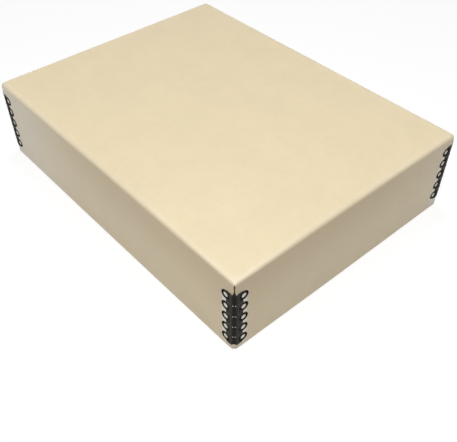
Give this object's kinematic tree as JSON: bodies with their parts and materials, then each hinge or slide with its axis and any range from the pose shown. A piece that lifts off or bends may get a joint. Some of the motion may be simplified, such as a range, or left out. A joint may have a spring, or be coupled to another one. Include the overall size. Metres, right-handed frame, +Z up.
{
  "type": "drop-front archival box",
  "caption": "Low tan board box for papers, with a full-depth lift-off lid, metal corner stays and a tray whose front drops.",
  "frame": {"origin": "middle of the box's footprint, on the surface it rests on", "axes": "+Z up, +X along the long side, the drop front faces -Y"},
  "size_m": [0.3308, 0.2528, 0.079],
  "materials": {
    "board": null,
    "stay_metal": "dark bronze-black satin enamel on sheet steel"
  },
  "bodies": {
    "tray": {"tray_board": "board", "drop_front": "board", "tray_stay_back_left": "stay_metal", "tray_stay_back_right": "stay_metal"},
    "lid": {"lid_board": "board", "lid_stay_front_left": "stay_metal", "lid_stay_front_right": "stay_metal", "lid_stay_back_left": "stay_metal", "lid_stay_back_right": "stay_metal"}
  },
  "joints": [
    {"name": "lid_lift", "type": "slide", "parent": "tray", "child": "lid", "axis": [0, 0, 1], "range_m": [0, 0.16]}
  ]
}
